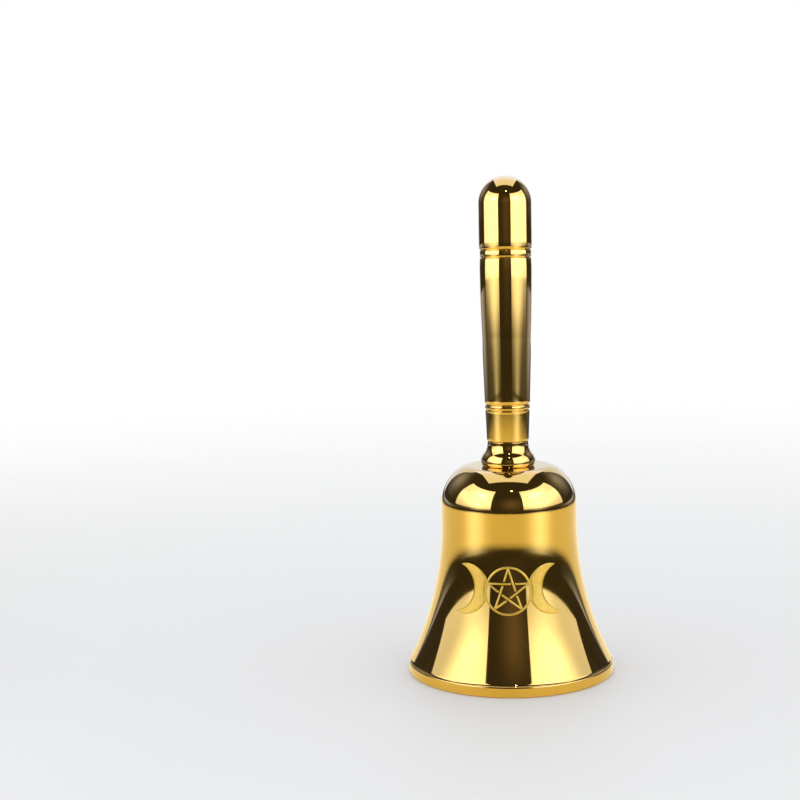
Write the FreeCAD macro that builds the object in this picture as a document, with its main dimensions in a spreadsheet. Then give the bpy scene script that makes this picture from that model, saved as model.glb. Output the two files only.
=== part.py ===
"""A small metal hand bell that stands on its mouth: a turned handle, a flared neck collar and a flaring cup,
clamped together by one eye bolt, with a ball clapper hung from the eye by a ring.

The origin is the middle of the mouth, +Z points up the handle, and all lengths are millimetres. Every driving
dimension is a cell of the Dimensions sheet, and each piece is an object of its own bound to those cells.
"""
import FreeCAD, Part
import math
import os

import Sketcher

XY, XZ, YZ = "XY_Plane", "XZ_Plane", "YZ_Plane"
UP = FreeCAD.Vector(0, 0, 1)

# Name, millimetres (or degrees where the note says so), and what the dimension is.
DRIVING = [
    ("total_height", 129.8, "mouth plane to the top of the handle"),
    # cup
    ("mouth_radius", 27.05, "radius of the lip band"),
    ("lip_top_radius", 26.65, "radius where the lip band ends and the flare starts"),
    ("lip_height", 2.9, "height of the lip band"),
    ("lip_edge", 0.5, "radius of the rounded lower and upper edges of the lip band"),
    ("lip_flat_inner", 25.3, "inner radius of the flat ring the bell stands on"),
    ("lip_inner_radius", 24.8, "radius of the bore at the top of the inner lip edge"),
    ("lip_inner_height", 0.8, "height of the inner lip edge"),
    ("lip_inner_edge", 1.0, "radius of the inner lip edge"),
    ("waist_radius", 17.7, "outer radius of the straight waist"),
    ("flare_top", 40.5, "height where the waist starts to flare"),
    ("shoulder_height", 44.6, "height where the waist turns into the shoulder"),
    ("shoulder_radius", 10.92, "radius of the shoulder's curve"),
    ("crown_height", 54.6, "height of the flat crown the collar sits on"),
    ("crown_blend", 5.0, "radius of the curve from the flat crown to the shoulder"),
    ("crown_thickness", 2.0, "thickness of the crown"),
    ("crown_blend_inside", 3.0, "radius of the same curve inside the cup"),
    ("wall", 1.8, "wall thickness at the waist and shoulder"),
    ("bolt_clearance", 2.7, "radius of the hole in the crown and in the collar"),
    # collar
    ("collar_height", 6.6, "height of the collar between crown and handle"),
    ("collar_base_radius", 7.05, "widest radius of the collar, on its full lower curve"),
    ("collar_base_height", 1.1, "height of that widest point above the crown"),
    ("collar_foot_radius", 6.75, "radius of the collar where it meets the crown"),
    ("collar_waist_radius", 6.2, "radius where the collar's curve changes side"),
    ("collar_waist_height", 3.4, "height of that place above the crown"),
    ("collar_top_radius", 5.3, "radius of the collar and the handle at their seam"),
    ("collar_neck_height", 6.0, "height above the crown where the collar's neck is straight"),
    ("collar_concave", 4.2, "radius of the collar's upper, hollow curve"),
    ("collar_convex", 3.54, "radius of the collar's lower, full curve"),
    ("collar_tuck", 2.2, "radius of the curve that draws the collar's foot in"),
    # handle
    ("grip_foot_radius", 5.45, "radius of the handle just above the seam"),
    ("grip_foot_chamfer", 0.18, "height of the small chamfer at the seam"),
    ("grip_lower_radius", 5.75, "radius of the handle under its lower groove pair"),
    ("grip_thin_radius", 5.88, "radius of the grip over its lower groove pair"),
    ("grip_middle_radius", 6.4, "radius of the grip at its middle"),
    ("grip_full_radius", 6.82, "largest radius of the grip under the upper groove pair"),
    ("grip_band_radius", 6.7, "radius of the band between the upper grooves"),
    ("cap_radius", 6.92, "radius of the rounded top section of the handle"),
    ("grip_middle_height", 88.4, "height of the grip's middle"),
    ("grip_full_height", 106.4, "height of the grip's largest radius"),
    ("grip_swell", 480.0, "radius of the grip's faint swell along its length"),
    ("lower_groove", 69.45, "height of the lowest groove"),
    ("lower_pitch", 1.38, "distance between the lower two grooves"),
    ("upper_groove", 109.0, "height of the third groove"),
    ("upper_pitch", 2.0, "distance between the upper two grooves"),
    ("groove_width", 0.5, "width of a groove"),
    ("groove_depth", 0.24, "depth of a groove"),
    ("tapped_depth", 15.0, "depth of the tapped hole in the handle"),
    # fasteners
    ("thread_radius", 2.5, "outer radius of the bolt's thread"),
    ("thread_gap", 0.02, "radial gap between a thread and its tapped hole"),
    ("bolt_top", 73.8, "height of the bolt's upper end, inside the handle"),
    ("bolt_end", 45.6, "height where the thread ends, under the nut"),
    ("bolt_point", 0.6, "chamfer on the bolt's upper end"),
    ("washer_radius", 5.0, "outer radius of the flat washer"),
    ("washer_hole", 2.65, "radius of the hole in the flat washer"),
    ("washer_thick", 1.0, "thickness of the flat washer"),
    ("lock_radius", 4.6, "outer radius of the split lock washer"),
    ("lock_hole", 2.56, "radius of the hole in the split lock washer"),
    ("lock_thick", 1.2, "thickness of the split lock washer, pressed flat"),
    ("lock_slit", 0.5, "width of the slit in the lock washer"),
    ("lock_slit_angle", 60.0, "slant of that slit, in degrees"),
    ("nut_flats", 8.0, "width across the flats of the hexagon nut"),
    ("nut_thick", 4.0, "thickness of the nut"),
    ("nut_crown_radius", 3.7, "radius where the nut's corner chamfer starts"),
    ("nut_chamfer_angle", 30.0, "slope of the nut's corner chamfers, in degrees"),
    # hanger and clapper
    ("eye_wire", 1.0, "wire radius of the bolt's eye"),
    ("eye_radius", 3.2, "radius of the eye's centre line"),
    ("ring_wire", 0.7, "wire radius of the ring"),
    ("ring_radius", 3.1, "radius of the ring's centre line"),
    ("loop_wire", 0.9, "wire radius of the loop on the clapper rod"),
    ("loop_radius", 2.9, "radius of that loop's centre line"),
    ("link_gap", 0.03, "gap between two wires that hang in each other"),
    ("rod_radius", 1.1, "radius of the clapper rod"),
    ("rod_shoulder_radius", 2.2, "radius of the shoulder the ball is pushed up to"),
    ("rod_shoulder_height", 1.2, "height of that shoulder"),
    ("rivet_radius", 1.9, "radius of the rod's peened end under the ball"),
    ("rivet_height", 0.8, "height of the peened end"),
    ("ball_radius", 6.0, "radius of the clapper ball"),
    ("ball_height", 9.6, "height of the ball's centre above the mouth plane"),
    ("ball_flat", 2.6, "radius of the flats turned on the ball's poles"),
]


class Size:
    """A length known both as a number and as the expression on the sheet that gives it."""

    def __init__(self, value, text=None):
        self.value = float(value)
        self.text = repr(self.value) if text is None else text

    @staticmethod
    def of(other):
        return other if isinstance(other, Size) else Size(other)

    def join(self, other, sign, value):
        return Size(value, "(%s %s %s)" % (self.text, sign, other.text))

    def __add__(self, other):
        other = Size.of(other)
        return self.join(other, "+", self.value + other.value)

    def __sub__(self, other):
        other = Size.of(other)
        return self.join(other, "-", self.value - other.value)

    def __mul__(self, other):
        other = Size.of(other)
        return self.join(other, "*", self.value * other.value)

    def __truediv__(self, other):
        other = Size.of(other)
        return self.join(other, "/", self.value / other.value)

    def root(self):
        return Size(math.sqrt(self.value), "sqrt(%s)" % self.text)


def make_sheet(doc):
    """Writes the driving dimensions into the sheet and returns them as a dictionary of Size."""
    sheet = doc.addObject("Spreadsheet::Sheet", "Dimensions")
    sizes = {}
    for row, (name, value, note) in enumerate(DRIVING, start=1):
        sheet.set("A%d" % row, note)
        sheet.set("B%d" % row, repr(value))
        sheet.setAlias("B%d" % row, name)
        sizes[name] = Size(value, "Dimensions.%s" % name)
    doc.recompute()
    return sizes


def bind(thing, prop, size):
    """Ties a property of an object to the sheet."""
    thing.setExpression(prop, size.text)


def new_body(doc, label, height=None):
    """A PartDesign body, raised to a height bound to the sheet."""
    body = doc.addObject("PartDesign::Body", label)
    body.Label = label
    if height is not None:
        bind(body, "Placement.Base.z", height)
    return body


def origin_plane(body, role):
    return next(f for f in body.Origin.OriginFeatures if f.Role == role)


def new_sketch(body, name, role=XZ):
    sketch = body.newObject("Sketcher::SketchObject", name)
    sketch.AttachmentSupport = [(origin_plane(body, role), "")]
    sketch.MapMode = "FlatFace"
    return sketch


def pin_point(sketch, geometry, end, across, up):
    """Fixes one point of a sketch by its two coordinates, each bound to the sheet."""
    for kind, size, axis in (("DistanceX", across, -2), ("DistanceY", up, -1)):
        if abs(size.value) < 1e-9:
            sketch.addConstraint(Sketcher.Constraint("PointOnObject", geometry, end, axis))
            continue
        number = sketch.addConstraint(Sketcher.Constraint(kind, -1, 1, geometry, end, size.value))
        sketch.setExpression("Constraints[%d]" % number, size.text)


def arc_between(start, finish, radius, side):
    """The arc from start to finish; side 1 bows to the right of the way there, and -1 to the left."""
    chord = finish - start
    middle = (start + finish) * 0.5
    rise = math.sqrt(max(radius**2 - (chord.Length / 2) ** 2, 0.0))
    left = FreeCAD.Vector(-chord.y, chord.x, 0).normalize()
    centre = middle + left * (rise * side)
    first = math.atan2(start.y - centre.y, start.x - centre.x)
    last = math.atan2(finish.y - centre.y, finish.x - centre.x)
    circle = Part.Circle(centre, UP, radius)
    if side > 0:
        return Part.ArcOfCircle(circle, first, last), 1, 2
    return Part.ArcOfCircle(circle, last, first), 2, 1


def outline(sketch, corners):
    """Draws a closed outline. Each corner is (across, up) or (across, up, radius, side), and a radius makes the
    side that leaves this corner an arc."""
    points = [(Size.of(c[0]), Size.of(c[1])) for c in corners]
    places = [FreeCAD.Vector(x.value, y.value, 0) for x, y in points]
    sides = []
    for i, corner in enumerate(corners):
        finish = places[(i + 1) % len(places)]
        if len(corner) == 4:
            radius, side = Size.of(corner[2]), corner[3]
            shape, start_end, finish_end = arc_between(places[i], finish, radius.value, side)
        else:
            radius = None
            shape, start_end, finish_end = Part.LineSegment(places[i], finish), 1, 2
        sides.append((sketch.addGeometry(shape, False), start_end, finish_end, radius))
    for i, (number, start_end, _, radius) in enumerate(sides):
        before, _, before_end, _ = sides[i - 1]
        sketch.addConstraint(
            Sketcher.Constraint("Coincident", before, before_end, number, start_end)
        )
        pin_point(sketch, number, start_end, *points[i])
    for number, _, _, radius in sides:
        if radius is not None:
            limit = sketch.addConstraint(Sketcher.Constraint("Radius", number, radius.value))
            sketch.setExpression("Constraints[%d]" % limit, radius.text)


def turn(body, name, corners):
    """Turns a closed outline in the XZ plane round the Z axis."""
    sketch = new_sketch(body, name + "Outline")
    outline(sketch, corners)
    feature = body.newObject("PartDesign::Revolution", name)
    feature.Profile = sketch
    feature.ReferenceAxis = (sketch, ["V_Axis"])
    feature.Angle = 360.0
    body.Tip = feature
    return feature


def cut_round(body, name, corners):
    """Cuts a closed outline, turned round the Z axis, out of the body."""
    sketch = new_sketch(body, name + "Outline")
    outline(sketch, corners)
    feature = body.newObject("PartDesign::Groove", name)
    feature.Profile = sketch
    feature.ReferenceAxis = (sketch, ["V_Axis"])
    feature.Angle = 360.0
    body.Tip = feature
    return feature


def make_cup(doc, d):
    """The cup: flat crown, round shoulder, straight waist, long flare and a banded lip, thicker towards the lip."""
    body = new_body(doc, "bell_cup")
    centre = d["waist_radius"] - d["shoulder_radius"]

    def crown_blend(crown, shoulder, blend):
        """Where the flat crown ends, and where the blend meets the shoulder's curve."""
        drop = crown - blend - d["shoulder_height"]
        reach = shoulder - blend
        across = (reach * reach - drop * drop).root()
        meets = (centre + across * shoulder / reach, d["shoulder_height"] + drop * shoulder / reach)
        return centre + across, meets

    flat_end, (meet_across, meet_up) = crown_blend(
        d["crown_height"], d["shoulder_radius"], d["crown_blend"]
    )
    under = d["crown_height"] - d["crown_thickness"]
    inner_shoulder = d["shoulder_radius"] - d["wall"]
    inner_flat, (inner_across, inner_up) = crown_blend(
        under, inner_shoulder, d["crown_blend_inside"]
    )
    inner_waist = d["waist_radius"] - d["wall"]

    def flare_radius(low_radius, low_height, top_radius):
        """Radius of an arc that leaves the straight waist smoothly and passes the given lip corner."""
        out = low_radius - top_radius
        fall = d["flare_top"] - low_height
        return (out * out + fall * fall) / (out * 2)

    outer_flare = flare_radius(d["lip_top_radius"], d["lip_height"], d["waist_radius"])
    inner_flare = flare_radius(d["lip_inner_radius"], d["lip_inner_height"], inner_waist)
    turn(
        body,
        "CupWall",
        [
            (d["bolt_clearance"], under),
            (inner_flat, under, d["crown_blend_inside"], -1),
            (inner_across, inner_up, inner_shoulder, -1),
            (inner_waist, d["shoulder_height"]),
            (inner_waist, d["flare_top"], inner_flare, 1),
            (d["lip_inner_radius"], d["lip_inner_height"], d["lip_inner_edge"], 1),
            (d["lip_flat_inner"], 0),
            (d["mouth_radius"] - d["lip_edge"], 0, d["lip_edge"], 1),
            (d["mouth_radius"], d["lip_edge"]),
            (d["mouth_radius"], d["lip_height"] - d["lip_edge"], d["lip_edge"], 1),
            (d["lip_top_radius"], d["lip_height"], outer_flare, -1),
            (d["waist_radius"], d["flare_top"]),
            (d["waist_radius"], d["shoulder_height"], d["shoulder_radius"], 1),
            (meet_across, meet_up, d["crown_blend"], 1),
            (flat_end, d["crown_height"]),
            (d["bolt_clearance"], d["crown_height"]),
        ],
    )
    return body


def make_collar(doc, d):
    """The flared collar that spreads the handle's foot on the crown."""
    body = new_body(doc, "neck_collar", d["crown_height"])
    turn(
        body,
        "CollarWall",
        [
            (d["bolt_clearance"], 0),
            (d["collar_foot_radius"], 0, d["collar_tuck"], 1),
            (d["collar_base_radius"], d["collar_base_height"], d["collar_convex"], 1),
            (d["collar_waist_radius"], d["collar_waist_height"], d["collar_concave"], -1),
            (d["collar_top_radius"], d["collar_neck_height"]),
            (d["collar_top_radius"], d["collar_height"]),
            (d["bolt_clearance"], d["collar_height"]),
        ],
    )
    return body


def make_handle(doc, d):
    """The solid turned handle: rounded top, two groove pairs, a faintly swelling grip and a tapped foot."""
    body = new_body(doc, "handle")
    foot = d["crown_height"] + d["collar_height"]
    half_groove = d["groove_width"] / 2
    low_step = d["lower_groove"] - half_groove
    low_top = d["lower_groove"] + d["lower_pitch"] + half_groove
    band_low = d["upper_groove"] - half_groove
    band_top = d["upper_groove"] + d["upper_pitch"] - half_groove
    dome = d["total_height"] - d["cap_radius"]
    turn(
        body,
        "Grip",
        [
            (0, foot),
            (d["collar_top_radius"], foot),
            (d["grip_foot_radius"], foot + d["grip_foot_chamfer"]),
            (d["grip_lower_radius"], low_step),
            (d["grip_thin_radius"], low_top),
            (d["grip_middle_radius"], d["grip_middle_height"], d["grip_swell"], 1),
            (d["grip_full_radius"], d["grip_full_height"]),
            (d["grip_band_radius"], band_low),
            (d["grip_band_radius"], band_top),
            (d["cap_radius"], band_top + d["groove_width"]),
            (d["cap_radius"], dome, d["cap_radius"], 1),
            (0, d["total_height"]),
        ],
    )
    grooves = [
        ("LowestGroove", d["lower_groove"], d["grip_lower_radius"]),
        ("LowerGroove", d["lower_groove"] + d["lower_pitch"], d["grip_lower_radius"]),
        ("UpperGroove", d["upper_groove"], d["grip_band_radius"]),
        ("HighestGroove", d["upper_groove"] + d["upper_pitch"], d["grip_band_radius"]),
    ]
    for name, height, radius in grooves:
        floor = radius - d["groove_depth"]
        outside = d["cap_radius"] + 1
        cut_round(
            body,
            name,
            [
                (floor, height - half_groove / 2),
                (outside, height - half_groove * 2),
                (outside, height + half_groove * 2),
                (floor, height + half_groove / 2),
            ],
        )
    bore = d["thread_radius"] + d["thread_gap"]
    top = foot + d["tapped_depth"]
    cut_round(
        body,
        "TappedHole",
        [(0, foot - 1), (bore, foot - 1), (bore, top), (0, top + bore * 0.6)],
    )
    return body


def make_washers(doc, d):
    """The flat washer under the crown and the split lock washer under it."""
    under = d["crown_height"] - d["crown_thickness"]
    flat = new_body(doc, "flat_washer", under - d["washer_thick"])
    edge = 0.2
    turn(
        flat,
        "FlatRing",
        [
            (d["washer_hole"], 0),
            (d["washer_radius"] - edge, 0),
            (d["washer_radius"], edge),
            (d["washer_radius"], d["washer_thick"]),
            (d["washer_hole"], d["washer_thick"]),
        ],
    )
    lock_low = under - d["washer_thick"] - d["lock_thick"]
    blank = new_body(doc, "LockBlank", lock_low)
    turn(
        blank,
        "LockRing",
        [
            (d["lock_hole"], 0),
            (d["lock_radius"], 0),
            (d["lock_radius"], d["lock_thick"]),
            (d["lock_hole"], d["lock_thick"]),
        ],
    )
    slit = doc.addObject("Part::Box", "LockSlit")
    bind(slit, "Length", d["lock_radius"])
    bind(slit, "Width", d["lock_slit"])
    bind(slit, "Height", d["lock_thick"] * 4)
    slit.Placement.Rotation = FreeCAD.Rotation(FreeCAD.Vector(1, 0, 0), 30)
    slit.setExpression("Placement.Rotation.Angle", "90 deg - Dimensions.lock_slit_angle * 1 deg")
    bind(slit, "Placement.Base.x", d["lock_hole"] / 2)
    bind(slit, "Placement.Base.y", d["lock_thick"])
    bind(slit, "Placement.Base.z", lock_low - d["lock_thick"] * 1.4)
    lock = doc.addObject("Part::Cut", "lock_washer")
    lock.Base = blank
    lock.Tool = slit
    return flat, lock


def make_nut(doc, d):
    """The hexagon nut that clamps cup, collar and handle together, chamfered at both faces."""
    under = d["crown_height"] - d["crown_thickness"] - d["washer_thick"] - d["lock_thick"]
    nut = new_body(doc, "hex_nut", under - d["nut_thick"])
    sketch = new_sketch(nut, "Hexagon", XY)
    corner = d["nut_flats"] / Size(math.sqrt(3), "sqrt(3)")
    first = FreeCAD.Vector(corner.value, 0, 0)
    spots = [FreeCAD.Rotation(UP, 60 * k).multVec(first) for k in range(6)]
    for k in range(6):
        sketch.addGeometry(Part.LineSegment(spots[k], spots[(k + 1) % 6]), False)
    circle = sketch.addGeometry(Part.Circle(FreeCAD.Vector(), UP, corner.value), True)
    sketch.addConstraint(Sketcher.Constraint("Coincident", circle, 3, -1, 1))
    for k in range(6):
        sketch.addConstraint(Sketcher.Constraint("Coincident", k, 2, (k + 1) % 6, 1))
        sketch.addConstraint(Sketcher.Constraint("PointOnObject", k, 1, circle))
    for k in range(1, 6):
        sketch.addConstraint(Sketcher.Constraint("Equal", 0, k))
    sketch.addConstraint(Sketcher.Constraint("PointOnObject", 0, 1, -1))
    reach = sketch.addConstraint(Sketcher.Constraint("Radius", circle, corner.value))
    sketch.setExpression("Constraints[%d]" % reach, corner.text)
    pad = nut.newObject("PartDesign::Pad", "HexagonPad")
    pad.Profile = sketch
    bind(pad, "Length", d["nut_thick"])
    nut.Tip = pad
    bore = d["thread_radius"] + d["thread_gap"]
    cut_round(nut, "NutBore", [(0, -1), (bore, -1), (bore, d["nut_thick"] + 1), (0, d["nut_thick"] + 1)])
    outside = corner + 1
    slope = Size(math.tan(math.radians(30)), "tan(Dimensions.nut_chamfer_angle * 1 deg)")
    fall = (outside - d["nut_crown_radius"]) * slope
    cut_round(
        nut,
        "LowerChamfer",
        [(d["nut_crown_radius"], 0), (outside, -1), (outside, fall)],
    )
    cut_round(
        nut,
        "UpperChamfer",
        [
            (d["nut_crown_radius"], d["nut_thick"]),
            (outside, d["nut_thick"] - fall),
            (outside, d["nut_thick"] + 1),
        ],
    )
    return nut


def torus(doc, name, radius, wire, height, turned=False):
    """A ring of round wire whose centre line stands upright: round Y, or round X when turned."""
    ring = doc.addObject("Part::Torus", name)
    bind(ring, "Radius1", radius)
    bind(ring, "Radius2", wire)
    axis = FreeCAD.Vector(0, 1, 0) if turned else FreeCAD.Vector(1, 0, 0)
    ring.Placement.Rotation = FreeCAD.Rotation(axis, 90)
    bind(ring, "Placement.Base.z", height)
    return ring


def fuse(doc, label, pieces):
    """Joins shapes that are one piece of metal."""
    whole = doc.addObject("Part::MultiFuse", label)
    whole.Shapes = pieces
    whole.Refine = False
    return whole


def hanger_heights(d):
    """Heights of the centres of eye, ring and loop, and of the two wires that the hinges turn on."""
    eye = d["bolt_end"] - d["eye_radius"] - d["eye_wire"] * 0.3
    eye_bar = eye - d["eye_radius"]
    ring = eye_bar + d["eye_wire"] + d["ring_wire"] + d["link_gap"] - d["ring_radius"]
    ring_bar = ring - d["ring_radius"]
    loop = ring_bar + d["ring_wire"] + d["loop_wire"] + d["link_gap"] - d["loop_radius"]
    return eye, eye_bar, ring, ring_bar, loop


def make_eye_bolt(doc, d):
    """The bolt that holds the bell together: a threaded shank with an eye closed on its lower end."""
    eye_height = hanger_heights(d)[0]
    shank = new_body(doc, "BoltShank")
    neck = d["eye_wire"] + 0.5
    low = eye_height + d["eye_radius"] - d["eye_wire"] * 0.4
    turn(
        shank,
        "Shank",
        [
            (0, low),
            (neck, low),
            (d["thread_radius"], d["bolt_end"]),
            (d["thread_radius"], d["bolt_top"] - d["bolt_point"]),
            (d["thread_radius"] - d["bolt_point"], d["bolt_top"]),
            (0, d["bolt_top"]),
        ],
    )
    eye = torus(doc, "BoltEye", d["eye_radius"], d["eye_wire"], eye_height)
    return fuse(doc, "eye_bolt", [shank, eye])


def make_ring(doc, d):
    """The loose ring between the bolt's eye and the clapper's loop."""
    ring_height = hanger_heights(d)[2]
    return torus(doc, "clapper_ring", d["ring_radius"], d["ring_wire"], ring_height, turned=True)


def make_rod(doc, d):
    """The clapper rod: a closed loop on top, a shoulder over the ball and a peened end under it."""
    loop_height = hanger_heights(d)[4]
    stem = new_body(doc, "RodStem")
    flat_rise = (d["ball_radius"] * d["ball_radius"] - d["ball_flat"] * d["ball_flat"]).root()
    seat = d["ball_height"] + flat_rise
    under = d["ball_height"] - flat_rise
    crown = 0.3
    turn(
        stem,
        "Stem",
        [
            (0, under - d["rivet_height"]),
            (d["rivet_radius"] - crown * 2, under - d["rivet_height"]),
            (d["rivet_radius"], under - d["rivet_height"] + crown),
            (d["rivet_radius"], under),
            (d["rod_radius"], under),
            (d["rod_radius"], seat),
            (d["rod_shoulder_radius"], seat),
            (d["rod_shoulder_radius"], seat + d["rod_shoulder_height"] - crown),
            (d["rod_radius"], seat + d["rod_shoulder_height"] + crown),
            (d["rod_radius"], loop_height - d["loop_radius"]),
            (0, loop_height - d["loop_radius"]),
        ],
    )
    loop = torus(doc, "RodLoop", d["loop_radius"], d["loop_wire"], loop_height)
    return fuse(doc, "clapper_rod", [stem, loop])


def make_ball(doc, d):
    """The clapper ball, drilled through for the rod, with a small flat at each pole."""
    body = new_body(doc, "clapper_ball", d["ball_height"])
    bore = d["rod_radius"] + d["thread_gap"]
    rise = (d["ball_radius"] * d["ball_radius"] - d["ball_flat"] * d["ball_flat"]).root()
    low = Size(0) - rise
    turn(
        body,
        "Ball",
        [(bore, low), (d["ball_flat"], low, d["ball_radius"], 1), (d["ball_flat"], rise), (bore, rise)],
    )
    return body


def failed(thing):
    return any(word in thing.State for word in ("Invalid", "Error"))


def main():
    os.makedirs("parts", exist_ok=True)
    doc = FreeCAD.newDocument("hand_bell")
    d = make_sheet(doc)
    pieces = [
        make_cup(doc, d),
        make_collar(doc, d),
        make_handle(doc, d),
        make_eye_bolt(doc, d),
        *make_washers(doc, d),
        make_nut(doc, d),
        make_ring(doc, d),
        make_rod(doc, d),
        make_ball(doc, d),
    ]
    doc.recompute()
    bad = [thing.Label for thing in doc.Objects if failed(thing)]
    if bad:
        raise RuntimeError("these objects failed: %s" % bad)
    for piece in pieces:
        shape = piece.Shape
        if shape.isNull() or not shape.isValid() or len(shape.Solids) != 1:
            raise RuntimeError("%s has no single valid solid" % piece.Label)
    for piece in pieces:
        box = piece.Shape.BoundBox
        piece.Shape.exportStep("parts/%s.step" % piece.Label)
        print(
            "%-14s volume %8.1f  radius %5.2f  z %6.2f to %6.2f"
            % (piece.Label, piece.Shape.Volume, box.XMax, box.ZMin, box.ZMax)
        )
    print("hinges at", [round(x.value, 3) for x in hanger_heights(d)[1:4:2]])


main()
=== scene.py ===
import math

import bmesh
import bpy
from mathutils import Matrix, Vector


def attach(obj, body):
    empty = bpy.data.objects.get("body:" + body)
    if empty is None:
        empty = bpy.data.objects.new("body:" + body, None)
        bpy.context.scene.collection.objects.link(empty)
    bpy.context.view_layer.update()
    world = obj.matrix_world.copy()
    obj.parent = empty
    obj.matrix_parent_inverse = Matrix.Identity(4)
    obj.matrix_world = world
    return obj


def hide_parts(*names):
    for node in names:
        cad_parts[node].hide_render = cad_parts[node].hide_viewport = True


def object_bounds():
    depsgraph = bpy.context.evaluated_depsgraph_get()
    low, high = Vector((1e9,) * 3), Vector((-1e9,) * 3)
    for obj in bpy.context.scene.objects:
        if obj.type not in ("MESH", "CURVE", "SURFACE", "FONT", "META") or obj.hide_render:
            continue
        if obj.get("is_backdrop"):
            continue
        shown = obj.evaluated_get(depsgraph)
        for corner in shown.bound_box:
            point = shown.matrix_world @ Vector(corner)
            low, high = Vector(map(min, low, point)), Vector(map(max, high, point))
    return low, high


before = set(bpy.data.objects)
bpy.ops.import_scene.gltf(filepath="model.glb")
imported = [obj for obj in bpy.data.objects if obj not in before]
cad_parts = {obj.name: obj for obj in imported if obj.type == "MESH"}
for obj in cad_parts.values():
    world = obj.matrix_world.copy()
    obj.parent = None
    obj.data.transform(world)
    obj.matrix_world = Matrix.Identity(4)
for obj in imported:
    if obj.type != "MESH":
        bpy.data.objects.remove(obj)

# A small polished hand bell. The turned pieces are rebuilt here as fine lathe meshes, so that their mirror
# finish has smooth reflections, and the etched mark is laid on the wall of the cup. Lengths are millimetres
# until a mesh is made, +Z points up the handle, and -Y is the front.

MM = 0.001
cad_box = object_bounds()

# ---------------------------------------------------------------- sizes, as in the CAD model
TOTAL_HEIGHT = 129.8
MOUTH_RADIUS = 27.05
LIP_TOP_RADIUS = 26.65
LIP_HEIGHT = 2.9
LIP_EDGE = 0.5
LIP_INNER_FLAT = 25.3
LIP_INNER_RADIUS = 24.8
LIP_INNER_HEIGHT = 0.8
WAIST_RADIUS = 17.7
WALL = 1.8
FLARE_TOP = 40.5
SHOULDER_HEIGHT = 44.6
SHOULDER_RADIUS = 10.92
CROWN_HEIGHT = 54.6
CROWN_BLEND = 5.0
CROWN_THICKNESS = 2.0
CROWN_BLEND_INSIDE = 3.0
BOLT_CLEARANCE = 2.7
COLLAR_HEIGHT = 6.6
COLLAR_NECK_HEIGHT = 6.0
COLLAR_TOP_RADIUS = 5.3
COLLAR_WAIST = (6.2, 3.4)
COLLAR_BEAD = (7.05, 1.1)
COLLAR_FOOT_RADIUS = 6.75
COLLAR_CONCAVE = 4.2
COLLAR_CONVEX = 3.54
COLLAR_TUCK = 2.2
SEAM = CROWN_HEIGHT + COLLAR_HEIGHT
CAP_RADIUS = 6.92
CAP_FOOT_HEIGHT = 111.9
BAND_RADIUS = 6.72
GRIP_FULL = (6.82, 106.4)
GRIP_MIDDLE = (6.4, 88.4)
GRIP_THIN = (5.88, 71.2)
GRIP_SWELL = 480.0
GRIP_LOWER = (5.75, 69.1)
GRIP_FOOT_RADIUS = 5.45
GROOVE_WIDTH = 0.5
GROOVE_DEPTH = 0.24
HIGHEST_GROOVE, UPPER_GROOVE = 111.0, 109.0
LOWER_GROOVE, LOWEST_GROOVE = 70.83, 69.45

# How many flat facets stand for one turn of a lathe piece.
CUP_FACETS = 360
GRIP_FACETS = 240

# ---------------------------------------------------------------- outlines


def arc(start, finish, radius, side, steps):
    """Points from start to finish along an arc, without the last one; side 1 bows to the right of the way."""
    (x0, y0), (x1, y1) = start, finish
    chord = math.hypot(x1 - x0, y1 - y0)
    rise = math.sqrt(max(radius**2 - (chord / 2) ** 2, 0.0)) * side
    centre_x = (x0 + x1) / 2 - (y1 - y0) / chord * rise
    centre_y = (y0 + y1) / 2 + (x1 - x0) / chord * rise
    first = math.atan2(y0 - centre_y, x0 - centre_x)
    turn = math.atan2(y1 - centre_y, x1 - centre_x) - first
    turn = (turn + math.pi) % math.tau - math.pi
    angles = [first + turn * i / steps for i in range(steps)]
    return [(centre_x + radius * math.cos(a), centre_y + radius * math.sin(a)) for a in angles]


def line(start, finish, steps):
    """Points from start to finish along a straight line, without the last one."""
    (x0, y0), (x1, y1) = start, finish
    return [(x0 + (x1 - x0) * i / steps, y0 + (y1 - y0) * i / steps) for i in range(steps)]


def trace(corners):
    """Turns corners (across, up, steps[, radius, side]) into the points of an open outline."""
    points = []
    for here, after in zip(corners, corners[1:]):
        if len(here) == 5:
            points += arc(here[:2], after[:2], here[3], here[4], here[2])
        else:
            points += line(here[:2], after[:2], here[2])
    points.append(corners[-1][:2])
    return points


def flare_radius(low_radius, low_height, top_radius):
    """Radius of the arc that leaves the straight waist smoothly and passes a lip corner."""
    out = low_radius - top_radius
    fall = FLARE_TOP - low_height
    return (out * out + fall * fall) / (2 * out)


OUTER_FLARE = flare_radius(LIP_TOP_RADIUS, LIP_HEIGHT, WAIST_RADIUS)


def wall_radius(height):
    """Outer radius of the cup's flare at a height, and the slope of the wall there."""
    fall = max(FLARE_TOP - height, 0.0)
    level = math.sqrt(OUTER_FLARE**2 - fall**2)
    return WAIST_RADIUS + OUTER_FLARE - level, fall / level


def crown_blend(crown, shoulder, blend):
    """Where the flat crown ends, and where its blend meets the shoulder's curve."""
    centre = WAIST_RADIUS - SHOULDER_RADIUS
    drop = crown - blend - SHOULDER_HEIGHT
    reach = shoulder - blend
    across = math.sqrt(reach * reach - drop * drop)
    return centre + across, (centre + across * shoulder / reach, SHOULDER_HEIGHT + drop * shoulder / reach)


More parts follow.
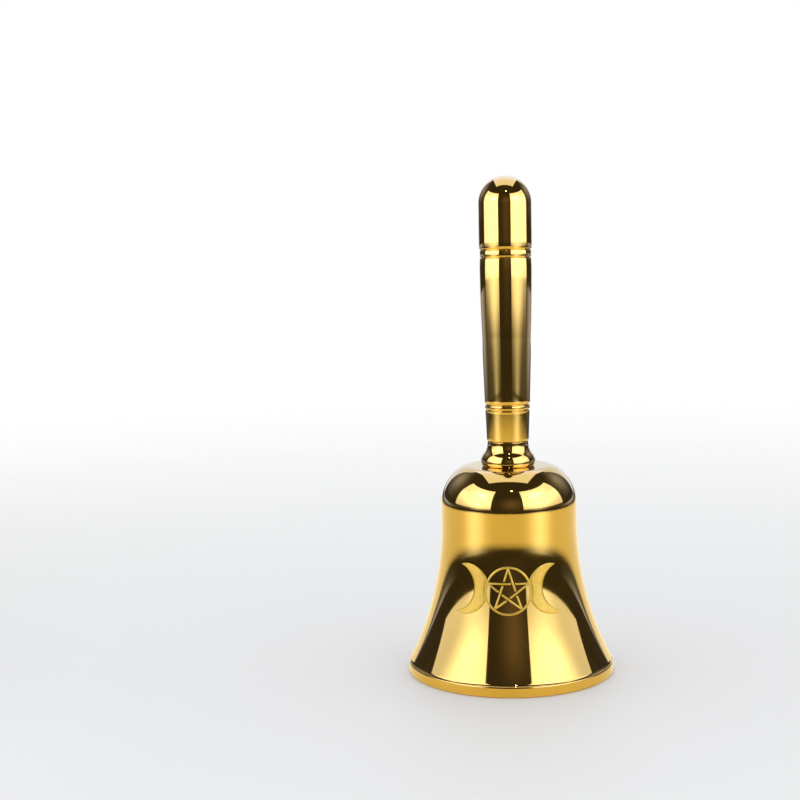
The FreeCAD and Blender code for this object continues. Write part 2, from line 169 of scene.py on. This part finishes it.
def cup_outline():
    """From the bolt hole over the outside to the lip, and back up the inside."""
    flat_end, meet = crown_blend(CROWN_HEIGHT, SHOULDER_RADIUS, CROWN_BLEND)
    under = CROWN_HEIGHT - CROWN_THICKNESS
    inner_shoulder = SHOULDER_RADIUS - WALL
    inner_flat, inner_meet = crown_blend(under, inner_shoulder, CROWN_BLEND_INSIDE)
    inner_waist = WAIST_RADIUS - WALL
    inner_flare = flare_radius(LIP_INNER_RADIUS, LIP_INNER_HEIGHT, inner_waist)
    return trace(
        [
            (BOLT_CLEARANCE, CROWN_HEIGHT, 4),
            (flat_end, CROWN_HEIGHT, 14, CROWN_BLEND, -1),
            (meet[0], meet[1], 26, SHOULDER_RADIUS, -1),
            (WAIST_RADIUS, SHOULDER_HEIGHT, 4),
            (WAIST_RADIUS, FLARE_TOP, 60, OUTER_FLARE, 1),
            (LIP_TOP_RADIUS, LIP_HEIGHT, 8, LIP_EDGE, -1),
            (MOUTH_RADIUS, LIP_HEIGHT - LIP_EDGE, 5),
            (MOUTH_RADIUS, LIP_EDGE, 6, LIP_EDGE, -1),
            (MOUTH_RADIUS - LIP_EDGE, 0, 2),
            (LIP_INNER_FLAT, 0, 6, 1.0, -1),
            (LIP_INNER_RADIUS, LIP_INNER_HEIGHT, 40, inner_flare, -1),
            (inner_waist, FLARE_TOP, 3),
            (inner_waist, SHOULDER_HEIGHT, 16, inner_shoulder, 1),
            (inner_meet[0], inner_meet[1], 8, CROWN_BLEND_INSIDE, 1),
            (inner_flat, under, 4),
            (BOLT_CLEARANCE, under, 2),
            (BOLT_CLEARANCE, CROWN_HEIGHT, 1),
        ]
    )[:-1]


def collar_outline():
    """The flared collar, from its bore out along the seam under the handle, down to the crown and back in."""
    edge = 0.16
    waist_radius, waist_rise = COLLAR_WAIST
    bead_radius, bead_rise = COLLAR_BEAD
    return trace(
        [
            (BOLT_CLEARANCE, SEAM, 2),
            (COLLAR_TOP_RADIUS - edge, SEAM, 5, edge, -1),
            (COLLAR_TOP_RADIUS, SEAM - edge, 2),
            (COLLAR_TOP_RADIUS, CROWN_HEIGHT + COLLAR_NECK_HEIGHT, 24, COLLAR_CONCAVE, 1),
            (waist_radius, CROWN_HEIGHT + waist_rise, 24, COLLAR_CONVEX, -1),
            (bead_radius, CROWN_HEIGHT + bead_rise, 12, COLLAR_TUCK, -1),
            (COLLAR_FOOT_RADIUS, CROWN_HEIGHT, 2),
            (BOLT_CLEARANCE, CROWN_HEIGHT, 2),
            (BOLT_CLEARANCE, SEAM, 1),
        ]
    )[:-1]


def groove(radius, height):
    """A fine round-bottomed groove, from its upper edge to its lower one."""
    half = GROOVE_WIDTH / 2
    steps = 10
    places = [1 - 2 * i / steps for i in range(steps + 1)]
    return [(radius - GROOVE_DEPTH * math.cos(t * math.pi / 2) ** 2, height + half * t) for t in places]


def handle_outline():
    """The handle from the top of its dome down to the seam, and across its foot."""
    dome = [
        (0, TOTAL_HEIGHT, 40, CAP_RADIUS, -1),
        (CAP_RADIUS, TOTAL_HEIGHT - CAP_RADIUS, 8),
        (CAP_RADIUS, CAP_FOOT_HEIGHT, 5),
        (6.8, 111.3, 1),
    ]
    grip = [
        (BAND_RADIUS, UPPER_GROOVE - GROOVE_WIDTH / 2 - 0.1, 3),
        (*GRIP_FULL, 30, GRIP_SWELL, -1),
        (*GRIP_MIDDLE, 24),
        (*GRIP_THIN, 1),
    ]
    foot = [
        (*GRIP_LOWER, 14),
        (GRIP_FOOT_RADIUS, SEAM + 0.3, 4, 0.25, -1),
        (5.25, SEAM + 0.05, 2),
        (0, SEAM, 1),
    ]
    return [
        *trace(dome),
        *groove(BAND_RADIUS, HIGHEST_GROOVE)[1:],
        *groove(6.7, UPPER_GROOVE),
        *trace(grip),
        *groove(5.8, LOWER_GROOVE),
        *groove(5.77, LOWEST_GROOVE),
        *trace(foot),
    ]


# ---------------------------------------------------------------- meshes


def finish_piece(name, mesh, material, body, nodes=()):
    """Puts a mesh in the scene as a piece of the object."""
    for face in mesh.polygons:
        face.use_smooth = True
    mesh.materials.append(material)
    piece = bpy.data.objects.new(name, mesh)
    bpy.context.scene.collection.objects.link(piece)
    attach(piece, body)
    if nodes:
        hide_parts(*nodes)
    return piece


def lathe(name, outline, segments, closed):
    """Turns an outline of (radius, height) round the Z axis; a radius of zero becomes a single point."""
    work = bmesh.new()
    rings = []
    for radius, height in outline:
        if radius < 1e-6:
            rings.append([work.verts.new((0, 0, height * MM))])
            continue
        across = radius * MM
        turns = [math.tau * k / segments for k in range(segments)]
        rings.append(
            [work.verts.new((across * math.cos(a), across * math.sin(a), height * MM)) for a in turns]
        )
    pairs = list(zip(rings, rings[1:]))
    if closed:
        pairs.append((rings[-1], rings[0]))
    for upper, lower in pairs:
        for k in range(segments):
            after = (k + 1) % segments
            down = [upper[k % len(upper)], lower[k % len(lower)]]
            up = [lower[after % len(lower)], upper[after % len(upper)]]
            face = list(dict.fromkeys(down + up))
            if len(face) > 2:
                work.faces.new(face)
    bmesh.ops.recalc_face_normals(work, faces=work.faces)
    mesh = bpy.data.meshes.new(name)
    work.to_mesh(mesh)
    work.free()
    return mesh


# ---------------------------------------------------------------- the etched mark

MARK_HEIGHT = 25.44
MARK_RADIUS = 6.08
RING_STROKE = 0.56
STAR_STROKE = 0.5
WEAVE_GAP = 0.3
CRESCENT_RADIUS = 1.04 * MARK_RADIUS
CRESCENT_CENTRE = 1.86 * MARK_RADIUS
HOLLOW_RADIUS = MARK_RADIUS
HOLLOW_CENTRE = 2.48 * MARK_RADIUS
ETCH_ABOVE = 0.012
ETCH_BELOW = 0.03


def on_wall(across, up, lift):
    """Wraps a flat point of the mark round the cup; across runs along the wall at the mark's middle."""
    height = MARK_HEIGHT + up
    radius, slope = wall_radius(height)
    reference = wall_radius(MARK_HEIGHT)[0]
    angle = across / reference
    lean = 1 / math.hypot(1, slope)
    radius += lift * lean
    height += lift * slope * lean
    return Vector((radius * math.sin(angle), -radius * math.cos(angle), height)) * MM


def etched_strip(work, left, right, parts=2, closed=False):
    """A thin layer between two matching lines of flat points, with its edges let into the wall."""
    columns = []
    for a, b in zip(left, right):
        shares = [i / parts for i in range(parts + 1)]
        across = [(a[0] + (b[0] - a[0]) * s, a[1] + (b[1] - a[1]) * s) for s in shares]
        points = [(a, -ETCH_BELOW), *((p, ETCH_ABOVE) for p in across), (b, -ETCH_BELOW)]
        columns.append([work.verts.new(on_wall(p[0], p[1], lift)) for p, lift in points])
    pairs = list(zip(columns, columns[1:]))
    if closed:
        pairs.append((columns[-1], columns[0]))
    else:
        work.faces.new(columns[0])
        work.faces.new(columns[-1][::-1])
    for here, after in pairs:
        for k in range(len(here)):
            following = (k + 1) % len(here)
            work.faces.new([here[k], after[k], after[following], here[following]])


def stroke(work, start, finish, width):
    """A straight stroke of the star."""
    length = math.dist(start, finish)
    steps = max(2, round(length / 0.4))
    side_x = (finish[1] - start[1]) / length * width / 2
    side_y = -(finish[0] - start[0]) / length * width / 2
    line_points = [
        (start[0] + (finish[0] - start[0]) * i / steps, start[1] + (finish[1] - start[1]) * i / steps)
        for i in range(steps + 1)
    ]
    left = [(x - side_x, y - side_y) for x, y in line_points]
    right = [(x + side_x, y + side_y) for x, y in line_points]
    etched_strip(work, left, right)


def make_mark(material):
    """A ring with a woven five-pointed star in it, and a crescent at each side with its horns outwards."""
    work = bmesh.new()
    turns = [math.tau * k / 160 for k in range(160)]
    inner = MARK_RADIUS - RING_STROKE
    etched_strip(
        work,
        [(inner * math.cos(t), inner * math.sin(t)) for t in turns],
        [(MARK_RADIUS * math.cos(t), MARK_RADIUS * math.sin(t)) for t in turns],
        closed=True,
    )
    tip = inner + 0.05
    tips = [(tip * math.sin(math.tau * k / 5), tip * math.cos(math.tau * k / 5)) for k in range(5)]
    # Each stroke joins every second tip. It crosses two others, over the first and under the second.
    golden = (3 - math.sqrt(5)) / 2
    length = math.dist(tips[0], tips[2])
    half_gap = (STAR_STROKE / 2 / math.sin(math.radians(72)) + WEAVE_GAP) / length
    for k in range(5):
        start, finish = tips[k], tips[(k + 2) % 5]

        def along(t):
            return (start[0] + (finish[0] - start[0]) * t, start[1] + (finish[1] - start[1]) * t)

        under = 1 - golden
        stroke(work, start, along(under - half_gap), STAR_STROKE)
        stroke(work, along(under + half_gap), finish, STAR_STROKE)
    apart = HOLLOW_CENTRE - CRESCENT_CENTRE
    tip = (apart**2 + CRESCENT_RADIUS**2 - HOLLOW_RADIUS**2) / (2 * apart)
    outer_reach = math.acos(-tip / CRESCENT_RADIUS)
    hollow_reach = math.acos((apart - tip) / HOLLOW_RADIUS)
    steps = 48
    for side in (-1, 1):
        near, far = [], []
        for i in range(steps + 1):
            share = (2 * i / steps - 1) * 0.997
            across = CRESCENT_CENTRE - CRESCENT_RADIUS * math.cos(outer_reach * share)
            up = CRESCENT_RADIUS * math.sin(outer_reach * share)
            clear = max(1.0, (MARK_RADIUS + 0.02) / math.hypot(across, up))
            near.append((side * across * clear, up * clear))
            across = HOLLOW_CENTRE - HOLLOW_RADIUS * math.cos(hollow_reach * share)
            far.append((side * across, HOLLOW_RADIUS * math.sin(hollow_reach * share)))
        etched_strip(work, near, far, parts=6)
    bmesh.ops.recalc_face_normals(work, faces=work.faces)
    mesh = bpy.data.meshes.new("etched_mark")
    work.to_mesh(mesh)
    work.free()
    return finish_piece("etched_mark", mesh, material, "bell")


# ---------------------------------------------------------------- materials


def new_material(name):
    """A material with its nodes, its links and its Principled shader."""
    material = bpy.data.materials.new(name)
    material.use_nodes = True
    nodes = material.node_tree.nodes
    return material, nodes, material.node_tree.links, nodes["Principled BSDF"]


def scaled_place(nodes, links, scale):
    """Object coordinates stretched by a scale for each axis."""
    place = nodes.new("ShaderNodeTexCoord")
    mapping = nodes.new("ShaderNodeMapping")
    mapping.inputs["Scale"].default_value = scale
    links.new(place.outputs["Object"], mapping.inputs["Vector"])
    return mapping.outputs["Vector"]


def noise(nodes, links, scale, detail, size, seed):
    """A noise pattern of the given feature size."""
    texture = nodes.new("ShaderNodeTexNoise")
    texture.noise_dimensions = "4D"
    texture.inputs["W"].default_value = seed
    texture.inputs["Scale"].default_value = size
    texture.inputs["Detail"].default_value = detail
    links.new(scaled_place(nodes, links, scale), texture.inputs["Vector"])
    return texture.outputs["Fac"]


def remap(nodes, links, source, low, high, into_low, into_high):
    """Carries the range low to high of a value over to another range, and clamps it there."""
    change = nodes.new("ShaderNodeMapRange")
    change.inputs["From Min"].default_value = low
    change.inputs["From Max"].default_value = high
    change.inputs["To Min"].default_value = into_low
    change.inputs["To Max"].default_value = into_high
    links.new(source, change.inputs["Value"])
    return change.outputs["Result"]


def blend_colours(nodes, links, factor, first, second):
    """A colour between two, chosen by a factor from 0 to 1."""
    mix = nodes.new("ShaderNodeMix")
    mix.data_type = "RGBA"
    links.new(factor, mix.inputs["Factor"])
    mix.inputs["A"].default_value = (*first, 1)
    mix.inputs["B"].default_value = (*second, 1)
    return mix.outputs["Result"]


def polished_metal(name, bright, deep, roughness, smudge, line_height, seed, lacquer=0.0):
    """Turned and polished metal: faint colour drift, smudges in the gloss and hair-fine turning lines."""
    material, nodes, links, surface = new_material(name)
    drift = noise(nodes, links, (1, 1, 1), 3.0, 60, seed)
    tone = remap(nodes, links, drift, 0.35, 0.65, 0.0, 1.0)
    links.new(blend_colours(nodes, links, tone, bright, deep), surface.inputs["Base Color"])
    surface.inputs["Metallic"].default_value = 1.0
    surface.inputs["Coat Weight"].default_value = lacquer
    surface.inputs["Coat Roughness"].default_value = 0.03
    surface.inputs["Coat IOR"].default_value = 1.6
    haze = noise(nodes, links, (1, 1, 1), 5.0, 110, seed + 3)
    gloss = remap(nodes, links, haze, 0.4, 0.75, roughness, roughness + smudge)
    links.new(gloss, surface.inputs["Roughness"])
    lines = noise(nodes, links, (1, 1, 60), 4.0, 90, seed + 7)
    bump = nodes.new("ShaderNodeBump")
    bump.inputs["Strength"].default_value = 1.0
    bump.inputs["Distance"].default_value = line_height * MM
    links.new(lines, bump.inputs["Height"])
    links.new(bump.outputs["Normal"], surface.inputs["Normal"])
    return material


def satin_metal(name, bright, deep, roughness, grain_height, grain_size, seed):
    """Frosted metal: fine even grain and slight mottling."""
    material, nodes, links, surface = new_material(name)
    mottle = noise(nodes, links, (1, 1, 1), 4.0, 700, seed)
    tone = remap(nodes, links, mottle, 0.35, 0.65, 0.0, 1.0)
    links.new(blend_colours(nodes, links, tone, bright, deep), surface.inputs["Base Color"])
    surface.inputs["Metallic"].default_value = 1.0
    gloss = remap(nodes, links, mottle, 0.3, 0.7, roughness, roughness + 0.12)
    links.new(gloss, surface.inputs["Roughness"])
    grain = noise(nodes, links, (1, 1, 1), 3.0, grain_size, seed + 5)
    bump = nodes.new("ShaderNodeBump")
    bump.inputs["Strength"].default_value = 1.0
    bump.inputs["Distance"].default_value = grain_height * MM
    links.new(grain, bump.inputs["Height"])
    links.new(bump.outputs["Normal"], surface.inputs["Normal"])
    return material


GOLD = polished_metal("polished_gold", (0.66, 0.43, 0.05), (0.62, 0.39, 0.04), 0.04, 0.04, 0.0006, 1.0, 1.0)
ETCHED = satin_metal("etched_gold", (0.70, 0.49, 0.085), (0.66, 0.45, 0.07), 0.4, 0.002, 9000, 4.0)
STEEL = polished_metal("plated_steel", (0.66, 0.65, 0.62), (0.52, 0.51, 0.48), 0.22, 0.2, 0.002, 9.0)
INSIDE = polished_metal("turned_inside", (0.78, 0.56, 0.20), (0.68, 0.47, 0.15), 0.26, 0.14, 0.004, 21.0)
BALL = polished_metal("turned_brass", (0.80, 0.60, 0.28), (0.62, 0.44, 0.19), 0.2, 0.16, 0.003, 14.0)

# ---------------------------------------------------------------- pieces

cup_mesh = lathe("bell_cup_polished", cup_outline(), CUP_FACETS, True)
cup = finish_piece("bell_cup_polished", cup_mesh, GOLD, "bell", ["bell_cup"])
cup.data.materials.append(INSIDE)
for face in cup.data.polygons:
    inward = face.normal.x * face.center.x + face.normal.y * face.center.y < 1e-6
    if inward and face.normal.z < 0.01 and face.center.z > LIP_INNER_HEIGHT * MM:
        face.material_index = 1
collar_mesh = lathe("neck_collar_polished", collar_outline(), GRIP_FACETS, True)
finish_piece("neck_collar_polished", collar_mesh, GOLD, "bell", ["neck_collar"])
handle_mesh = lathe("handle_polished", handle_outline(), GRIP_FACETS, False)
finish_piece("handle_polished", handle_mesh, GOLD, "bell", ["handle"])
make_mark(ETCHED)

for name in ("eye_bolt", "flat_washer", "lock_washer", "hex_nut", "clapper_ring", "clapper_rod"):
    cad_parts[name].data.materials[0] = STEEL
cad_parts["clapper_ball"].data.materials[0] = BALL

# ---------------------------------------------------------------- stage and light


def emissive(name, colour, strength, see_through=False):
    """A glowing material; each vertex's glow multiplies its strength."""
    material = bpy.data.materials.new(name)
    material.use_nodes = True
    nodes, links = material.node_tree.nodes, material.node_tree.links
    nodes.clear()
    glow = nodes.new("ShaderNodeEmission")
    glow.inputs["Color"].default_value = (*colour, 1)
    share = nodes.new("ShaderNodeAttribute")
    share.attribute_name = "glow"
    times = nodes.new("ShaderNodeMath")
    times.operation = "MULTIPLY"
    times.inputs[1].default_value = strength
    links.new(share.outputs["Fac"], times.inputs[0])
    links.new(times.outputs["Value"], glow.inputs["Strength"])
    out = nodes.new("ShaderNodeOutputMaterial")
    if see_through:
        both = nodes.new("ShaderNodeAddShader")
        clear = nodes.new("ShaderNodeBsdfTransparent")
        links.new(glow.outputs[0], both.inputs[0])
        links.new(clear.outputs[0], both.inputs[1])
        links.new(both.outputs[0], out.inputs[0])
    else:
        links.new(glow.outputs[0], out.inputs[0])
    return material


def stage_object(name, mesh, material, seen):
    """Puts a mesh on the stage; seen says whether the camera sees it."""
    mesh.materials.append(material)
    thing = bpy.data.objects.new(name, mesh)
    bpy.context.scene.collection.objects.link(thing)
    thing.visible_camera = seen
    thing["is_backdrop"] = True
    return thing


def hill(x, middle, width):
    """A smooth hill of height 1 round the middle."""
    return math.exp(-(((x - middle) / width) ** 2))


def card(name, place, glow, across, along, material):
    """A light made of a grid of points, seen only in reflections.

    Its place and its glow are functions of two shares from 0 to 1.
    """
    work = bmesh.new()
    layer = work.verts.layers.float.new("glow")
    grid = []
    for i in range(across + 1):
        column = []
        for j in range(along + 1):
            vert = work.verts.new(place(i / across, j / along))
            vert[layer] = glow(i / across, j / along)
            column.append(vert)
        grid.append(column)
    for here, after in zip(grid, grid[1:]):
        for j in range(along):
            work.faces.new([here[j], after[j], after[j + 1], here[j + 1]])
    mesh = bpy.data.meshes.new(name)
    work.to_mesh(mesh)
    work.free()
    thing = stage_object(name, mesh, material, False)
    thing.visible_diffuse = False
    thing.visible_shadow = False
    return thing


def softbox_glow(middle):
    """Brightest a little above half height; its foot is dim and narrows towards the given middle."""

    def glow(i, j):
        least = 0.10 + 0.40 * min(1.0, max(0.0, (j - 0.17) / 0.2))
        spread = least + (1 - least) * hill(i, middle, 0.14 + 1.3 * j)
        hot = hill(j, 0.62, 0.15) * hill(i, middle, 0.22)
        rise = min(1.0, max(0.0, 10.0 * j - 0.7))
        return spread * (0.14 + 0.30 * rise) + 0.56 * hot

    return glow


def softbox(name, angles, heights, distance, glow, material):
    """An upright softbox bent round the bell; its angles run from the front, and rise to the right."""
    first, last = angles
    low, high = heights

    def place(i, j):
        angle = math.radians(first + (last - first) * i)
        return (distance * math.sin(angle), -distance * math.cos(angle), low + (high - low) * j)

    return card(name, place, glow, 24, 24, material)


def ceiling(name, width, front, back, height, material):
    """A level sheet of light above the bell."""

    def place(i, j):
        return (width * (i - 0.5), front + (back - front) * j, height)

    return card(name, place, lambda i, j: 1.0, 8, 16, material)


def floor_glow(name, angles, reaches, material):
    """A soft bright patch on the floor, in a sector that opens away from the bell."""
    first, last = angles
    near, far = reaches

    def place(i, j):
        angle = math.radians(first + (last - first) * i)
        reach = near + (far - near) * j
        return (reach * math.sin(angle), -reach * math.cos(angle), 0.0005)

    return card(name, place, lambda i, j: hill(i, 0.5, 0.26) * min(1.0, 3 * j), 16, 8, material)


def disc(name, radius, hole, material, seen, steps=96):
    """A level disc with a round hole in the middle."""
    work = bmesh.new()
    layer = work.verts.layers.float.new("glow")
    rings = []
    for reach in (hole, radius):
        turns = [math.tau * k / steps for k in range(steps)]
        rings.append([work.verts.new((reach * math.cos(a), reach * math.sin(a), 0)) for a in turns])
    for vert in work.verts:
        vert[layer] = 1.0
    inner, outer = rings
    for k in range(steps):
        after = (k + 1) % steps
        work.faces.new([inner[k], outer[k], outer[after], inner[after]])
    mesh = bpy.data.meshes.new(name)
    work.to_mesh(mesh)
    work.free()
    return stage_object(name, mesh, material, seen)


def floor_material(name, colour, near, far, glow=0.0):
    """A pale floor that fades away between two distances from the bell.

    It has a glow of its own, and it is clear from below, so the bell can be seen from underneath.
    """
    material = bpy.data.materials.new(name)
    material.use_nodes = True
    nodes, links = material.node_tree.nodes, material.node_tree.links
    surface = nodes["Principled BSDF"]
    surface.inputs["Base Color"].default_value = (*colour, 1)
    surface.inputs["Emission Color"].default_value = (*colour, 1)
    surface.inputs["Emission Strength"].default_value = glow
    surface.inputs["Roughness"].default_value = 0.6
    place = nodes.new("ShaderNodeTexCoord")
    length = nodes.new("ShaderNodeVectorMath")
    length.operation = "LENGTH"
    links.new(place.outputs["Object"], length.inputs[0])
    fade = remap(nodes, links, length.outputs["Value"], near, far, 1.0, 0.0)
    fade.node.interpolation_type = "SMOOTHSTEP"
    side = nodes.new("ShaderNodeNewGeometry")
    topside = remap(nodes, links, side.outputs["Backfacing"], 0.0, 1.0, 1.0, 0.0)
    solid = nodes.new("ShaderNodeMath")
    solid.operation = "MULTIPLY"
    links.new(fade, solid.inputs[0])
    links.new(topside, solid.inputs[1])
    links.new(solid.outputs["Value"], surface.inputs["Alpha"])
    return material


FLOOR_RADIUS = 0.9
FLOOR_HOLE = 0.9 * LIP_INNER_RADIUS * MM
COOL_WHITE = (0.94, 0.98, 1.42)
WARM_WHITE = (1.0, 0.97, 0.92)
ROSE = (1.0, 0.70, 0.62)
WHITE = (1, 1, 1)

# The camera sees one floor, and reflections show another, which ends nearer to the bell.
floor_look = floor_material("pale_floor", (0.77, 0.78, 0.77), 0.0, 0.62)
disc("floor", FLOOR_RADIUS, FLOOR_HOLE, floor_look, True).visible_glossy = False
mirrored_look = floor_material("mirrored_floor", (1.0, 0.84, 0.44), 0.27, 0.40, 0.10)
mirrored = disc("mirrored_floor", FLOOR_RADIUS, FLOOR_HOLE, mirrored_look, False)
mirrored.location.z = -0.0005
mirrored.visible_diffuse = False
mirrored.visible_shadow = False

# The near softboxes make the strips on the handle and the bright fields on the crown.
for name, angles, middle in (("softbox_left", (-97, -28), 0.66), ("softbox_right", (25, 101), 0.36)):
    look = emissive(name, COOL_WHITE, 4.7, True)
    softbox(name, angles, (0.041, 0.275), 0.20, softbox_glow(middle), look)
# The far panels fill the flare of the cup, which looks upwards; the handle, which looks level, misses them.
for name, angles in (("far_panel_left", (-100.4, -29.1)), ("far_panel_right", (26.0, 104.5))):
    look = emissive(name, COOL_WHITE, 1.2, True)
    softbox(name, angles, (0.073, 0.42), 0.60, lambda i, j: 1.0 - 0.6 * j, look)
for name, angles, reaches, strength in (
    ("floor_glow_left", (-88, -26), (0.10, 0.42), 0.9),
    ("floor_glow_right", (22, 84), (0.10, 0.42), 0.9),
    ("floor_glow_back_left", (-170, -90), (0.34, 1.7), 0.48),
    ("floor_glow_back_right", (90, 170), (0.34, 1.7), 0.48),
):
    floor_glow(name, angles, reaches, emissive(name, COOL_WHITE, strength, True))


def side_haze_glow(i, j):
    return hill(j, 0.45, 0.30) * hill(i, 0.5, 0.28)


def front_haze_glow(i, j):
    return hill(j, 0.40, 0.26) * hill(i, 0.55, 0.24)


for name, angles in (("side_haze_left", (-165, -100)), ("side_haze_right", (100, 165))):
    look = emissive(name, COOL_WHITE, 0.36, True)
    softbox(name, angles, (0.12, 0.75), 0.62, side_haze_glow, look)
front_look = emissive("front_haze", ROSE, 0.14, True)
softbox("front_haze", (-30, 36), (0.0, 0.60), 0.62, front_haze_glow, front_look)
softbox("backdrop", (152, 208), (0.0, 0.8), 0.95, lambda i, j: 1.0, emissive("backdrop", WHITE, 0.9))
below = disc("light_below", 0.35, 0.01, emissive("light_below", WARM_WHITE, 2.2), False)
below.location.z = -0.25
ceiling("ceiling", 0.50, -0.08, 0.9, 0.62, emissive("ceiling", COOL_WHITE, 1.4))

# The spot is a small disc that faces the bell, and shows as its pin-point highlights.
SPOT_PLACE = Vector((0.065, -0.42, 0.62))
SPOT_AIM = Vector((0, 0, 0.07))
spot = disc("spot", 0.011, 0.0005, emissive("spot", WHITE, 90), False)
spot.location = SPOT_PLACE
spot.rotation_euler = (SPOT_PLACE - SPOT_AIM).to_track_quat("Z", "Y").to_euler()

# The camera and the floor see a white world; reflections see a dim one.
world = bpy.data.worlds.new("studio")
bpy.context.scene.world = world
world.use_nodes = True
world_nodes, world_links = world.node_tree.nodes, world.node_tree.links
world_nodes.clear()
rays = world_nodes.new("ShaderNodeLightPath")
pale = world_nodes.new("ShaderNodeBackground")
pale.inputs["Color"].default_value = (1, 1, 1, 1)
dim = world_nodes.new("ShaderNodeBackground")
dim.inputs["Color"].default_value = (0.05, 0.042, 0.035, 1)
choose = world_nodes.new("ShaderNodeMixShader")
out = world_nodes.new("ShaderNodeOutputWorld")
world_links.new(rays.outputs["Is Glossy Ray"], choose.inputs["Fac"])
world_links.new(pale.outputs[0], choose.inputs[1])
world_links.new(dim.outputs[0], choose.inputs[2])
world_links.new(choose.outputs[0], out.inputs["Surface"])
bpy.context.scene.view_settings.view_transform = "Standard"

# ---------------------------------------------------------------- camera

CAMERA_PLACE = Vector((0.0087, -0.3979, 0.1183))
TURN_LEFT = math.radians(4.04)
LOOK_DOWN = math.radians(6.6)
ROLL = math.radians(-1.21)
camera_data = bpy.data.cameras.new("camera")
camera_data.lens = 68.85
camera_data.sensor_width = 36
camera = bpy.data.objects.new("camera", camera_data)
bpy.context.scene.collection.objects.link(camera)
heading = math.atan2(-CAMERA_PLACE.x, -CAMERA_PLACE.y)
facing = Matrix.Rotation(-heading + TURN_LEFT, 4, "Z")
tilt = Matrix.Rotation(math.pi / 2 - LOOK_DOWN, 4, "X")
camera.matrix_world = Matrix.Translation(CAMERA_PLACE) @ facing @ tilt @ Matrix.Rotation(ROLL, 4, "Z")
camera_data.clip_start = 0.01
bpy.context.scene.camera = camera

boxes = {"cad": cad_box, "visual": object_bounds()}
{name: [list(corner) for corner in box] for name, box in boxes.items()}
